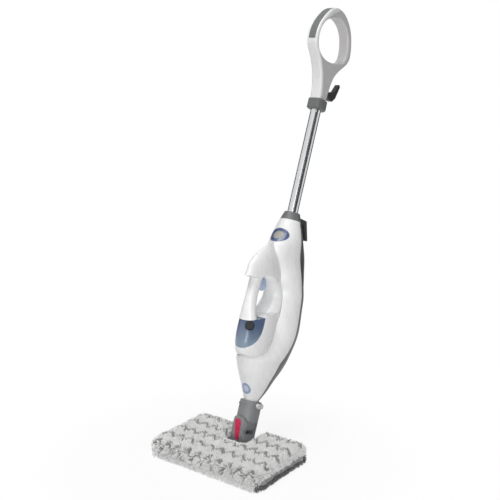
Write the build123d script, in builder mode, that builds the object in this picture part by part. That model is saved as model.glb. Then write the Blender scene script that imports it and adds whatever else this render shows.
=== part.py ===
from build123d import *
import os
from math import cos, radians, sin

# Steam mop, in millimetres and degrees.
# The row's origin is the middle of the pad's underside, front is -Y, up is +Z.
# Everything above the flip hinge is drawn in the pole's own frame: x across, y to the back,
# u up along the pole from the hinge axis.

os.makedirs("parts", exist_ok=True)

# Clearances
running_gap = 0.05
fit_gap = 0.1
parting_gap = 0.2
soft_gap = 0.3
module_gap = 0.5

# Pad and mop head
pad_length = 332.0
pad_width = 200.0
pad_layer = 12.0
pad_corner = 22.0
pad_round = 9.0
seam_round = 4.0
slot_width = 66.0
slot_front = 25.0
slot_corner = 14.0
head_length = 300.0
head_width = 178.0
head_thickness = 14.0
head_corner = 14.0
head_wall = 3.0
notch_width = 62.0
notch_front = 27.0
ear_width = 16.0
steam_hole_radius = 2.5
steam_hole_pitch = 30.0
steam_hole_columns = 9
steam_rows = (-62.0, -26.0)
head_screw_x = 124.0
head_screw_y = 66.0
screw_radius = 1.6
screw_head_radius = 3.2
screw_head_height = 2.0
screw_post_radius = 5.0
pipe_radius = 4.0
pipe_bore = 2.5
pipe_end = 132.0
saddle_x = 118.0
saddle_width = 16.0
saddle_thickness = 4.0

# Flip hinge and pole
pivot_y = 45.0
lean = 22.0
axle_radius = 5.0
axle_bore = 3.0
knuckle_radius = 12.0
knuckle_play = 2.0

# Swivel fork
swivel_height = 50.0
arm_radius = 21.0
stem_half = 17.0
yoke_half = 26.0
fork_front = -10.0
fork_back = 26.0
fork_floor = 31.0
yoke_nose = 16.0
yoke_chin = (-22.0, 24.0)
yoke_brow = (-31.0, 64.0)
yoke_back = 38.0
yoke_top = 72.0
yoke_depth = 38.0
yoke_middle = 4.0
cover_depth = 4.0
cover_proud = 1.0
cover_top_half = 9.0
cover_low_half = 5.0
cover_low = 12.0
pin_radius = 4.0
pin_front = -22.0
cap_radius = 11.0
cap_height = 6.0

# Neck connector
tongue_radius = 17.0
arm_play = 0.5
collar_radius = 28.0
collar_low = 62.0
collar_top = 112.0
collar_bevel = 2.5
bead_low = 99.0
bead_height = 4.0
bead_proud = 1.5
neck_offset = 8.0
spigot_radius = 14.0
spigot_offset = 6.0
spigot_top = 140.0
neck_pipe_low = 72.0
latch_height = 103.0
latch_length = 26.0
latch_width = 13.0
latch_out = 4.0
latch_inner = 17.0
latch_room = 4.0
latch_travel = 3.0
spring_radius = 3.5
spring_wire = 0.9

# Body sections: height, half width, front and back, from the neck collar to the tube collar
body_sections = [
    (collar_top, 18.0, -13.0, 25.0),
    (118.0, 20.3, -16.5, 29.5),
    (127.0, 23.7, -21.6, 36.5),
    (140.0, 28.5, -29.0, 46.0),
    (165.0, 38.0, -44.0, 58.0),
    (190.0, 47.0, -59.0, 73.0),
    (206.0, 51.5, -68.0, 83.0),
    (217.0, 53.5, -70.0, 89.0),
    (230.0, 54.5, -54.0, 93.0),
    (250.0, 55.0, -28.0, 97.0),
    (290.0, 56.0, -4.0, 105.0),
    (330.0, 56.0, -5.0, 105.0),
    (370.0, 55.0, -7.0, 99.0),
    (410.0, 53.0, -11.0, 90.0),
    (440.0, 49.0, -25.0, 86.0),
    (470.0, 43.0, -43.0, 86.0),
    (505.0, 40.5, -54.0, 74.0),
    (535.0, 41.0, -40.0, 47.0),
    (556.0, 36.0, -34.0, 37.0),
    (571.0, 31.0, -30.0, 31.0),
    (580.0, 28.0, -28.0, 28.0),
]
body_wall = 2.5
body_end_wall = 3.0
rear_share = 0.55

# Body fittings
tube_radius = 14.0
tube_wall = 1.5
tube_low = 548.0
tube_high = 940.0
body_collar_top = 602.0
body_collar_top_radius = 20.0
body_collar_round = 3.0
body_collar_offset = 0.0
hook_half = 14.0
hook_thickness = 11.0
hook_root = 588.0
hook_reach = 54.0
hook_tip = (73.0, 544.0)
badge_height = 534.0
badge_half_width = 27.0
badge_half_height = 19.0
badge_share = 0.58
badge_proud = 1.2
lamp_height = 140.0
lamp_radius = 13.0
lamp_core_radius = 8.0
lamp_proud = 0.8
gland_height = 478.0
gland_radius = 10.0
gland_neck_radius = 7.0
gland_bore = 3.75
gland_length = 9.0

# Boiler, pump and board
boiler_radius = 30.0
boiler_y = 52.0
boiler_low = 232.0
boiler_high = 350.0
pump_radius = 15.0
pump_y = 44.0
pump_low = 402.0
pump_high = 460.0
board_y = 29.0
board_thickness = 1.6
board_width = 44.0
board_low = 472.0
board_high = 528.0
rib_heights = (246.0, 328.0, 412.0, 446.0, 480.0, 516.0)
rib_thickness = 4.0
hose_radius = 4.5
hose_bore = 2.5
hose_bend = 14.0
inlet_radius = 3.0
inlet_bore = 1.8
body_screw_heights = (190.0, 430.0)
body_screw_x = 36.0
body_screw_length = 26.0
body_screw_seat = 10.0

# Tank unit
hood_sections = [
    (411.0, 22.5, -137.0, 10.0),
    (436.0, 24.0, -131.0, 20.0),
    (462.0, 20.0, -118.0, 0.0),
    (488.0, 12.0, -92.0, -20.0),
    (500.0, 6.0, -79.0, -40.0),
    (510.0, 3.0, -62.0, -46.0),
]
arch_y = -64.0
arch_u = 408.0
arch_half_depth = 33.0
arch_half_height = 17.0
grip_sections = [
    (300.0, 27.0, -104.0, -62.0),
    (322.0, 21.0, -107.0, -72.0),
    (350.0, 16.0, -110.0, -78.0),
    (390.0, 15.0, -109.0, -79.0),
    (430.0, 15.0, -108.0, -80.0),
]
spine_sections = [
    (304.0, 34.0, -60.0, 12.0),
    (322.0, 35.0, -49.0, 13.0),
    (344.0, 34.5, -35.5, 17.0),
    (366.0, 31.0, -25.0, 18.0),
    (388.0, 26.5, -23.5, 18.0),
    (400.0, 24.5, -32.0, 17.0),
    (411.0, 23.2, -50.0, 15.0),
    (426.0, 22.0, -78.0, 13.0),
]
cradle_sections = [
    (221.0, 28.0, -86.0, 0.0),
    (236.0, 34.0, -96.0, 12.0),
    (262.0, 39.0, -102.0, 15.0),
    (300.0, 40.0, -103.0, 16.0),
    (345.0, 38.0, -101.0, 16.0),
]
cradle_wall = 2.5
cradle_lip = [(-130.0, 218.0), (-92.0, 239.0), (-75.0, 260.0), (-65.0, 306.0), (-60.0, 360.0)]
cradle_rim = 3.0
tank_wall = 2.0
tank_inset = 0.6
tank_top_u = 320.0
tank_top_y = -65.0
filler_x = 15.0
filler_y = -94.0
filler_u = 293.0
filler_turn = 25.0
filler_tilt = 15.0
filler_radius = 11.5
filler_neck_radius = 8.0
filler_cap_height = 6.0
filler_reach = 8.0
seal_height = 1.5
valve_u = 282.0
valve_radius = 5.0
valve_y = 4.0
valve_inner = 19.0
socket_radius = 8.0
trigger_u = 400.0
trigger_half_height = 15.0
trigger_half_width = 9.5
trigger_depth = 28.0
trigger_back = -54.0
trigger_travel = 5.0
trigger_room = 6.0

# Handle
handle_low = 906.0
handle_half = 15.5
handle_outline = [
    (-19.0, handle_low), (-28.0, 950.0), (-57.0, 998.0), (-87.0, 1030.0), (-91.0, 1062.0), (-72.0, 1108.0),
    (-30.0, 1149.0), (14.0, 1152.0), (58.0, 1126.0), (82.0, 1080.0), (84.0, 1050.0), (60.0, 1017.0),
    (31.0, 981.0), (21.0, 945.0), (19.0, handle_low),
]
handle_hole = [
    (-77.0, 1040.0), (-72.0, 1084.0), (-40.0, 1116.0), (5.0, 1128.0), (46.0, 1110.0),
    (64.0, 1074.0), (61.0, 1041.0), (28.0, 1019.0), (-20.0, 1008.0), (-58.0, 1016.0),
]
strip_line = [
    (-9.0, handle_low), (-18.0, 950.0), (-48.0, 1000.0), (-80.0, 1038.0), (-81.0, 1064.0), (-63.0, 1102.0),
    (-26.0, 1138.0), (4.0, 1160.0),
]
handle_wall = 3.0
set_in_steps = 48
handle_round = 5.5
insert_half = 10.0
insert_depth = 2.5
insert_low = 1040.0
insert_back = -28.0
handle_screws_at = [(0.0, 985.0), (24.0, 1139.0)]
handle_post_radius = 4.5
handle_collar_low = 880.0
handle_collar_x = 42.0
handle_collar_y = 44.0
handle_collar_corner = 12.0
handle_collar_bevel = 3.0
snap_height = 874.0
snap_radius = 3.0
snap_out = 2.0
snap_travel = 2.5
snap_turn = 37.0
spindle_height = 930.0
spindle_radius = 4.0
spindle_end = 34.0
hook_boss_radius = 9.5
hook_boss_front = 21.2
hook_boss_back = 37.0
wing_half = 6.0
wing_outline = [
    (30.0, 921.0), (58.0, 924.0), (70.0, 938.0), (81.0, 974.0), (74.0, 979.0), (60.0, 952.0), (30.0, 940.0),
]
wing_round = 3.0

# Places worked out from the sizes above
head_bottom = pad_layer + soft_gap
head_half = head_thickness / 2
head_mid = head_bottom + head_half
head_top = head_bottom + head_thickness
pad_top = head_top + soft_gap + pad_layer
knuckle_half = notch_width / 2 - knuckle_play
axle_half = notch_width / 2 + ear_width - 2 * knuckle_play
far = 400.0

pole = Plane(
    origin=(0, pivot_y, head_mid),
    x_dir=(1, 0, 0),
    z_dir=(0, sin(radians(lean)), cos(radians(lean))),
)
side = Plane(origin=pole.origin, x_dir=pole.y_dir, z_dir=(1, 0, 0))
front = Plane(origin=pole.origin, x_dir=(1, 0, 0), z_dir=-pole.y_dir)


def level(height):
    return pole.offset(height)


def facing(back):
    return front.offset(-back)


def upright(back, height):
    return Plane(origin=pole.from_local_coords((0, back, height)), x_dir=(1, 0, 0), z_dir=pole.z_dir)


def forward(height):
    return Plane(origin=pole.from_local_coords((0, 0, height)), x_dir=(1, 0, 0), z_dir=-pole.y_dir)


def save(piece, name):
    piece.label = name
    export_step(piece, f"parts/{name}.step")


def tube_between(plane, outer, inner, length):
    with BuildPart() as tube:
        with BuildSketch(plane):
            Circle(outer)
            Circle(inner, mode=Mode.SUBTRACT)
        extrude(amount=length)
    return tube.part


# One half of the mop head: a tray with ears for the axle, posts for screws and saddles for the pipes
def head_tray(outer_z, inward, screw_clear):
    depth = head_half - head_wall
    with BuildPart() as tray:
        with BuildSketch(Plane.XY.offset(outer_z)):
            RectangleRounded(head_length, head_width, head_corner)
            with Locations((0, (notch_front + head_width / 2) / 2)):
                Rectangle(notch_width, head_width / 2 - notch_front, mode=Mode.SUBTRACT)
        extrude(amount=inward * head_half)
        with BuildSketch(Plane.XY.offset(outer_z + inward * head_wall)):
            RectangleRounded(head_length - 2 * head_wall, head_width - 2 * head_wall, head_corner - head_wall)
            ear_front = notch_front - ear_width
            with Locations((0, (ear_front + head_width / 2) / 2)):
                Rectangle(notch_width + 2 * ear_width, head_width / 2 - ear_front, mode=Mode.SUBTRACT)
        extrude(amount=inward * depth, mode=Mode.SUBTRACT)
        with BuildSketch(Plane.XY.offset(outer_z + inward * head_wall)):
            with GridLocations(2 * head_screw_x, 2 * head_screw_y, 2, 2):
                Circle(screw_post_radius)
            for turn in (-1, 1):
                with Locations((turn * saddle_x, pivot_y)):
                    Rectangle(saddle_thickness, saddle_width)
        extrude(amount=inward * depth)
        with BuildSketch(Plane.YZ.offset(-pipe_end)):
            with Locations((pivot_y, head_mid)):
                Circle(pipe_radius + running_gap)
        extrude(amount=2 * pipe_end, mode=Mode.SUBTRACT)
        with BuildSketch(Plane.YZ.offset(-axle_half)):
            with Locations((pivot_y, head_mid)):
                Circle(axle_radius + running_gap)
        extrude(amount=2 * axle_half, mode=Mode.SUBTRACT)
        with BuildSketch(Plane.XY.offset(outer_z)):
            for row in steam_rows:
                with Locations((0, row)):
                    with GridLocations(steam_hole_pitch, 1, steam_hole_columns, 1):
                        Circle(steam_hole_radius)
        extrude(amount=inward * head_wall, mode=Mode.SUBTRACT)
        with BuildSketch(Plane.XY.offset(head_mid)):
            with GridLocations(2 * head_screw_x, 2 * head_screw_y, 2, 2):
                Circle(screw_radius + fit_gap)
        extrude(amount=-inward * (head_half if screw_clear else depth), mode=Mode.SUBTRACT)
        if screw_clear:
            with BuildSketch(Plane.XY.offset(outer_z)):
                with GridLocations(2 * head_screw_x, 2 * head_screw_y, 2, 2):
                    Circle(screw_head_radius + fit_gap)
            extrude(amount=inward * screw_head_height, mode=Mode.SUBTRACT)
    return tray.part


save(head_tray(head_bottom, 1, True), "head_lower_plate")
save(head_tray(head_top, -1, False), "head_upper_plate")

with BuildPart() as head_screws:
    with BuildSketch(Plane.XY.offset(head_bottom)):
        with GridLocations(2 * head_screw_x, 2 * head_screw_y, 2, 2):
            Circle(screw_head_radius)
    extrude(amount=screw_head_height)
    with BuildSketch(Plane.XY.offset(head_bottom + screw_head_height)):
        with GridLocations(2 * head_screw_x, 2 * head_screw_y, 2, 2):
            Circle(screw_radius)
    extrude(amount=head_thickness - head_wall - 2 * screw_head_height)
save(head_screws.part, "head_screws")

axle_plane = Plane(origin=(-axle_half, pivot_y, head_mid), x_dir=(0, 1, 0), z_dir=(1, 0, 0))
save(tube_between(axle_plane, axle_radius, axle_bore, 2 * axle_half), "flip_axle")

with BuildPart() as steam_pipes:
    for start, way in ((axle_half, 1), (-axle_half, -1)):
        with BuildSketch(Plane.YZ.offset(start)):
            with Locations((pivot_y, head_mid)):
                Circle(pipe_radius)
                Circle(pipe_bore, mode=Mode.SUBTRACT)
        extrude(amount=way * (pipe_end - axle_half))
save(steam_pipes.part, "steam_pipes")


# One fleece layer of the pad: rounded rim, slot at the back, half of the pocket that takes the head
def fleece(outer_z, inward):
    height = pad_layer + soft_gap + head_half
    with BuildPart() as layer:
        with BuildSketch(Plane.XY.offset(outer_z)) as outline:
            RectangleRounded(pad_length, pad_width, pad_corner)
            with Locations((0, (slot_front + pad_width / 2) / 2)):
                Rectangle(slot_width, pad_width / 2 - slot_front, mode=Mode.SUBTRACT)
            inner = [v for v in outline.vertices() if abs(v.Y - slot_front) < 0.01]
            fillet(inner, slot_corner)
        extrude(amount=inward * height)
        faces = layer.faces().sort_by(Axis.Z)
        rim, seam = (faces[0], faces[-1]) if inward > 0 else (faces[-1], faces[0])
        fillet(rim.edges(), pad_round)
        fillet(seam.edges(), seam_round)
        with BuildSketch(Plane.XY.offset(outer_z + inward * pad_layer)):
            Rectangle(pad_length, head_width + 2 * soft_gap)
        extrude(amount=inward * height, mode=Mode.SUBTRACT)
    return layer.part


save(fleece(0, 1), "pad_lower_layer")
save(fleece(pad_top, -1), "pad_upper_layer")


# The inlaid cover on the fork's front, grown by a gap for its room
def cover_blank(gap, proud):
    chin_y, chin_u = yoke_chin
    brow_y, brow_u = yoke_brow
    deep = cover_depth + gap
    with BuildPart() as cover:
        with BuildSketch(side):
            with BuildLine():
                Polyline(
                    (-yoke_nose - proud, cover_low - gap), (chin_y - proud, chin_u), (brow_y - proud, brow_u),
                    (brow_y - proud, brow_u + far), (brow_y + deep, brow_u + far), (brow_y + deep, brow_u),
                    (chin_y + deep, chin_u), (-yoke_nose + deep, cover_low - gap), close=True,
                )
            make_face()
        extrude(amount=yoke_half, both=True)
        with BuildSketch(front):
            with BuildLine():
                Polyline(
                    (-cover_low_half - gap, cover_low - gap),
                    (cover_low_half + gap, cover_low - gap),
                    (cover_top_half + gap, brow_u - cover_top_half),
                    (-cover_top_half - gap, brow_u - cover_top_half),
                    close=True,
                )
            make_face()
            with Locations((0, brow_u - cover_top_half)):
                Circle(cover_top_half + gap)
        extrude(amount=far, both=True, mode=Mode.INTERSECT)
        with BuildSketch(level(-far)):
            with Locations((0, yoke_middle)):
                Ellipse(yoke_half + proud, yoke_depth + proud)
        extrude(amount=2 * far, mode=Mode.INTERSECT)
    return cover.part


cover_room = cover_blank(fit_gap, cover_proud)
save(cover_blank(0, cover_proud), "yoke_cover")

with BuildPart() as neck_yoke:
    with BuildSketch(side):
        with BuildLine():
            Polyline(
                (-knuckle_radius, 0), (-yoke_nose, cover_low), yoke_chin, yoke_brow, (yoke_brow[0], yoke_top),
                (yoke_back, yoke_top), (yoke_back, fork_floor), (knuckle_radius, 0), close=True,
            )
        make_face()
    extrude(amount=yoke_half, both=True)
    with BuildSketch(front):
        with BuildLine():
            Polyline(
                (-yoke_half, -knuckle_radius), (yoke_half, -knuckle_radius), (yoke_half, cover_low),
                (stem_half, fork_floor), (stem_half, swivel_height), (-stem_half, swivel_height),
                (-stem_half, fork_floor), (-yoke_half, cover_low), close=True,
            )
        make_face()
        with Locations((0, swivel_height)):
            Circle(arm_radius)
    extrude(amount=far, both=True, mode=Mode.INTERSECT)
    with BuildSketch(level(-far)):
        with Locations((0, yoke_middle)):
            Ellipse(yoke_half, yoke_depth)
    extrude(amount=2 * far, mode=Mode.INTERSECT)
    with BuildSketch(side):
        Circle(knuckle_radius)
    extrude(amount=knuckle_half, both=True)
    with BuildSketch(side):
        with Locations(((fork_front + fork_back) / 2, fork_floor + far / 2)):
            Rectangle(fork_back - fork_front, far)
    extrude(amount=far, both=True, mode=Mode.SUBTRACT)
    with BuildSketch(side):
        Circle(axle_radius + running_gap)
    extrude(amount=far, both=True, mode=Mode.SUBTRACT)
    with BuildSketch(facing(pin_front)):
        with Locations((0, swivel_height)):
            Circle(pin_radius + running_gap)
    extrude(amount=-far, mode=Mode.SUBTRACT)
    add(cover_room, mode=Mode.SUBTRACT)
save(neck_yoke.part, "neck_yoke")

with BuildPart() as swivel_pin:
    with BuildSketch(facing(pin_front)):
        with Locations((0, swivel_height)):
            Circle(pin_radius)
    extrude(amount=pin_front - yoke_back)
save(swivel_pin.part, "swivel_pin")

with BuildPart() as swivel_cap:
    with BuildSketch(facing(yoke_back)):
        with Locations((0, swivel_height)):
            Circle(cap_radius)
    extrude(amount=-cap_height)
    fillet(swivel_cap.faces().sort_by(Axis(pole.origin, pole.y_dir))[-1].edges(), cap_height / 2)
save(swivel_cap.part, "swivel_cap")

# Neck connector: bevelled collar, arches round the fork arms, tongue between them, spigot into the body
latch_plane = Plane(
    origin=pole.from_local_coords((0, neck_offset, latch_height)),
    x_dir=pole.y_dir,
    z_dir=(1, 0, 0),
)
with BuildPart() as neck_connector:
    with BuildSketch(level(collar_low)):
        with Locations((0, neck_offset)):
            Circle(collar_radius)
    extrude(amount=collar_top - collar_low)
    chamfer(neck_connector.faces().sort_by(Axis(pole.origin, pole.z_dir))[-1].edges(), collar_bevel)
    with BuildSketch(level(bead_low)):
        with Locations((0, neck_offset)):
            Circle(collar_radius + bead_proud)
    extrude(amount=bead_height)
    for start, way in ((fork_front + arm_play, 1), (fork_back - arm_play, -1)):
        with BuildSketch(facing(start)):
            with Locations((0, swivel_height)):
                Circle(arm_radius + arm_play)
        extrude(amount=way * far, mode=Mode.SUBTRACT)
    with BuildSketch(facing(fork_front + arm_play)):
        with Locations((0, swivel_height)):
            Circle(tongue_radius)
        with Locations((0, (swivel_height + collar_low + collar_bevel) / 2)):
            Rectangle(2 * tongue_radius, collar_low + collar_bevel - swivel_height)
    extrude(amount=-(fork_back - fork_front - 2 * arm_play))
    with BuildSketch(facing(-far / 2)):
        with Locations((0, swivel_height)):
            Circle(pin_radius + running_gap)
    extrude(amount=-far, mode=Mode.SUBTRACT)
    with BuildSketch(level(collar_top)):
        with Locations((0, spigot_offset)):
            Circle(spigot_radius)
    extrude(amount=spigot_top - collar_top)
    with BuildSketch(level(neck_pipe_low)):
        with Locations((0, spigot_offset)):
            Circle(pipe_radius + running_gap)
    extrude(amount=far, mode=Mode.SUBTRACT)
    with BuildSketch(latch_plane.offset(latch_inner - latch_room)):
        SlotOverall(latch_length + 2 * fit_gap, latch_width + 2 * fit_gap)
    extrude(amount=far, mode=Mode.SUBTRACT)
save(neck_connector.part, "neck_connector")

neck_pipe_plane = upright(spigot_offset, neck_pipe_low)
save(tube_between(neck_pipe_plane, pipe_radius, pipe_bore, spigot_top - neck_pipe_low), "neck_steam_pipe")

with BuildPart() as latch_button:
    with BuildSketch(latch_plane.offset(latch_inner)):
        SlotOverall(latch_length, latch_width)
    extrude(amount=collar_radius + latch_out - latch_inner)
    fillet(latch_button.faces().sort_by(Axis.X)[-1].edges(), latch_out / 2)
save(latch_button.part, "latch_button")

save(tube_between(latch_plane.offset(latch_inner - latch_room), spring_radius, spring_radius - spring_wire,
                  latch_room - latch_travel - parting_gap), "latch_spring")


# A skin through oval sections, each grown by the same amount
def skin(sections, grow, low_trim=0.0, high_trim=0.0):
    with BuildPart() as hull:
        last = len(sections) - 1
        for index, (height, half, ahead, behind) in enumerate(sections):
            trim = low_trim if index == 0 else -high_trim if index == last else 0.0
            with BuildSketch(level(height + trim)):
                with Locations((0, (ahead + behind) / 2)):
                    Ellipse(half + grow, (behind - ahead) / 2 + grow)
        loft()
    return hull.part


# Everything behind the line where the body's two shells meet
def behind_parting(shift):
    line = [(s[2] + rear_share * (s[3] - s[2]) + shift, s[0]) for s in body_sections]
    with BuildPart() as block:
        with BuildSketch(side):
            with BuildLine():
                Spline(*line)
                Polyline(line[-1], (line[-1][0], line[-1][1] + far), (far, line[-1][1] + far), (far, -far),
                         (line[0][0], -far), line[0])
            make_face()
        extrude(amount=far, both=True)
    return block.part


body_outer = skin(body_sections, 0)
body_inner = skin(body_sections, -body_wall, body_end_wall, body_end_wall)
rear_room = behind_parting(0)
rear_block = behind_parting(parting_gap)
boiler_plane = upright(boiler_y, boiler_low)
pump_plane = upright(pump_y, pump_low)
valve_plane = forward(valve_u)
gland_plane = forward(gland_height)
body_screw_places = [(turn * body_screw_x, height) for turn in (-1, 1) for height in body_screw_heights]

# Ribs inside the rear cover that cradle the boiler and the pump and carry the board
with BuildPart() as rear_ribs:
    for height in rib_heights:
        with BuildSketch(level(height)):
            Rectangle(far, far)
        extrude(amount=rib_thickness)
    add(skin(body_sections, -body_wall + fit_gap, body_end_wall, body_end_wall), mode=Mode.INTERSECT)
    add(rear_block, mode=Mode.INTERSECT)
    with BuildSketch(boiler_plane):
        Circle(boiler_radius + fit_gap)
    extrude(amount=boiler_high - boiler_low, mode=Mode.SUBTRACT)
    with BuildSketch(pump_plane):
        Circle(pump_radius + fit_gap)
    extrude(amount=pump_high - pump_low, mode=Mode.SUBTRACT)
    with BuildSketch(side):
        with Locations((board_y + board_thickness - far / 2, (board_low + board_high) / 2)):
            Rectangle(far, board_high - board_low)
    extrude(amount=far, both=True, mode=Mode.SUBTRACT)


# Screw posts along the depth of the body, cut to the inside of its skin
def screw_posts(radius):
    with BuildPart() as posts:
        with BuildSketch(facing(-far / 2)):
            with Locations(*body_screw_places):
                Circle(radius)
        extrude(amount=-far)
        add(skin(body_sections, -body_wall + fit_gap, body_end_wall, body_end_wall), mode=Mode.INTERSECT)
    return posts.part


posts = screw_posts(screw_post_radius)


def parting_at(height):
    for low, high in zip(body_sections, body_sections[1:]):
        if low[0] <= height <= high[0]:
            share = (height - low[0]) / (high[0] - low[0])
            middle = [s[2] + rear_share * (s[3] - s[2]) for s in (low, high)]
            return middle[0] + share * (middle[1] - middle[0])


# Round bars on the body's screw axes, from one distance behind the parting line to another
def screw_bars(radius, start, end):
    with BuildPart() as bars:
        for across, height in body_screw_places:
            with BuildSketch(facing(parting_at(height) + start)):
                with Locations((across, height)):
                    Circle(radius)
            extrude(amount=start - end)
    return bars.part


screw_end = body_screw_seat - body_screw_length
with BuildPart() as body_screws:
    add(screw_bars(screw_radius, screw_end, body_screw_seat))
    add(screw_bars(screw_head_radius, body_screw_seat, body_screw_seat + screw_head_height))
save(body_screws.part, "body_screws")

with BuildPart() as body_rear_cover:
    add(body_outer)
    add(rear_block, mode=Mode.INTERSECT)
    add(body_inner, mode=Mode.SUBTRACT)
    add(rear_ribs.part)
    add(posts)
    add(rear_block, mode=Mode.INTERSECT)
    add(screw_bars(screw_radius + fit_gap, -body_screw_seat, 2 * body_screw_seat), mode=Mode.SUBTRACT)
    add(screw_bars(screw_head_radius + fit_gap, body_screw_seat, far), mode=Mode.SUBTRACT)
    with BuildSketch(level(0)):
        with Locations((0, spigot_offset)):
            Circle(spigot_radius + fit_gap)
    extrude(amount=spigot_top + body_end_wall, mode=Mode.SUBTRACT)
    with BuildSketch(level(tube_low)):
        Circle(tube_radius + fit_gap)
    extrude(amount=far, mode=Mode.SUBTRACT)
    with BuildSketch(gland_plane):
        Circle(gland_neck_radius + fit_gap)
    extrude(amount=-far, mode=Mode.SUBTRACT)
save(body_rear_cover.part, "body_rear_cover")

with BuildPart() as body_front_shell:
    add(body_outer)
    add(rear_room, mode=Mode.SUBTRACT)
    add(body_inner, mode=Mode.SUBTRACT)
    add(posts)
    add(rear_room, mode=Mode.SUBTRACT)
    add(screw_bars(screw_radius + fit_gap, screw_end - screw_radius, body_screw_seat), mode=Mode.SUBTRACT)
    with BuildSketch(level(0)):
        with Locations((0, spigot_offset)):
            Circle(spigot_radius + fit_gap)
    extrude(amount=spigot_top + body_end_wall, mode=Mode.SUBTRACT)
    with BuildSketch(level(tube_low)):
        Circle(tube_radius + fit_gap)
    extrude(amount=far, mode=Mode.SUBTRACT)
    with BuildSketch(valve_plane):
        Circle(valve_radius + 2 * module_gap)
    extrude(amount=far, both=True, mode=Mode.SUBTRACT)
save(body_front_shell.part, "body_front_shell")


# Collar that closes the body's top round the tube, grown by a gap for what bears on it
def body_collar_blank(grow):
    height, radius, ahead, behind = body_sections[-1]
    with BuildPart() as blank:
        with BuildSketch(level(height)):
            with Locations((0, (ahead + behind) / 2)):
                Circle(radius + grow)
        with BuildSketch(level(body_collar_top)):
            with Locations((0, body_collar_offset)):
                Circle(body_collar_top_radius + grow)
        loft()
    return blank.part


collar_solid = body_collar_blank(0)
collar_room = body_collar_blank(fit_gap)

with BuildPart() as body_collar:
    add(collar_solid)
    fillet(body_collar.faces().sort_by(Axis(pole.origin, pole.z_dir))[-1].edges(), body_collar_round)
    with BuildSketch(level(tube_low)):
        Circle(tube_radius + fit_gap)
    extrude(amount=far, mode=Mode.SUBTRACT)
save(body_collar.part, "body_collar")

# Lower cord hook: an arm off the collar's back and a plate that hangs from it
with BuildPart() as lower_cord_hook:
    tip_y, tip_u = hook_tip
    half_thick = hook_thickness / 2
    with BuildSketch(side):
        with BuildLine():
            Polyline(
                (0, hook_root + half_thick),
                (hook_reach, hook_root + half_thick),
                (tip_y + half_thick, tip_u),
                (tip_y - half_thick, tip_u),
                (hook_reach - hook_thickness, hook_root - half_thick),
                (0, hook_root - half_thick),
                close=True,
            )
        make_face()
    extrude(amount=hook_half, both=True)
    corners = lower_cord_hook.edges().filter_by(Axis.X).sort_by(Axis(pole.origin, pole.y_dir))[-4:]
    fillet(corners, half_thick / 2)
    add(collar_room, mode=Mode.SUBTRACT)
    with BuildSketch(level(tube_low)):
        Circle(body_collar_top_radius)
    extrude(amount=far, mode=Mode.SUBTRACT)
save(lower_cord_hook.part, "lower_cord_hook")

# Trim that follows the body's skin: badge on the front, lamp low on the front
badge_plane = forward(badge_height)
lamp_plane = forward(lamp_height)
skin_seat = skin(body_sections, fit_gap)


def on_skin(plane, proud, outer, inner=None):
    cover = skin(body_sections, proud)
    with BuildPart() as trim:
        with BuildSketch(plane):
            Ellipse(*outer)
            if inner:
                Ellipse(*inner, mode=Mode.SUBTRACT)
        extrude(amount=far)
        add(cover, mode=Mode.INTERSECT)
        add(skin_seat, mode=Mode.SUBTRACT)
    return trim.part


badge_outer = (badge_half_width, badge_half_height)
badge_inner = (badge_share * badge_half_width, badge_share * badge_half_height)
plate_size = (badge_inner[0] - fit_gap, badge_inner[1] - fit_gap)
save(on_skin(badge_plane, badge_proud, badge_outer, badge_inner), "badge_bezel")
save(on_skin(badge_plane, badge_proud / 2, plate_size), "badge_plate")
lamp_outer = (lamp_radius, lamp_radius)
lamp_inner = (lamp_core_radius, lamp_core_radius)
core = lamp_core_radius - fit_gap
save(on_skin(lamp_plane, lamp_proud, lamp_outer, lamp_inner), "lamp_ring")
save(on_skin(lamp_plane, lamp_proud / 2, (core, core)), "lamp_lens")

# Cord gland: a boss that follows the rear skin, with a neck through the cover
with BuildPart() as cord_gland:
    with BuildSketch(gland_plane):
        Circle(gland_radius)
    extrude(amount=-far)
    add(skin(body_sections, gland_length), mode=Mode.INTERSECT)
    add(skin_seat, mode=Mode.SUBTRACT)
    with BuildSketch(gland_plane):
        Circle(gland_neck_radius)
    extrude(amount=-far)
    add(skin(body_sections, gland_length), mode=Mode.INTERSECT)
    add(skin(body_sections, -2 * body_wall), mode=Mode.SUBTRACT)
    with BuildSketch(gland_plane):
        Circle(gland_bore)
    extrude(amount=-far, mode=Mode.SUBTRACT)
save(cord_gland.part, "cord_gland")

# Boiler, pump, board and hoses
with BuildPart() as boiler:
    with BuildSketch(boiler_plane):
        Circle(boiler_radius)
    extrude(amount=boiler_high - boiler_low)
    fillet(boiler.edges().filter_by(GeomType.CIRCLE), boiler_radius / 5)
save(boiler.part, "boiler")

with BuildPart() as pump:
    with BuildSketch(pump_plane):
        Circle(pump_radius)
    extrude(amount=pump_high - pump_low)
save(pump.part, "pump")

with BuildPart() as control_board:
    with BuildSketch(facing(board_y)):
        with Locations((0, (board_low + board_high) / 2)):
            Rectangle(board_width, board_high - board_low)
    extrude(amount=-board_thickness)
save(control_board.part, "control_board")

save(tube_between(upright(pump_y, boiler_high), hose_radius, hose_bore, pump_low - boiler_high), "water_hose")

with BuildPart() as steam_hose:
    with BuildLine(side):
        FilletPolyline(
            (spigot_offset, spigot_top), (spigot_offset, spigot_top + 2 * hose_bend),
            (boiler_y, boiler_low - 2 * hose_bend), (boiler_y, boiler_low), radius=hose_bend,
        )
    with BuildSketch(level(spigot_top)):
        with Locations((0, spigot_offset)):
            Circle(hose_radius)
            Circle(hose_bore, mode=Mode.SUBTRACT)
    sweep()
save(steam_hose.part, "steam_hose")

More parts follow.
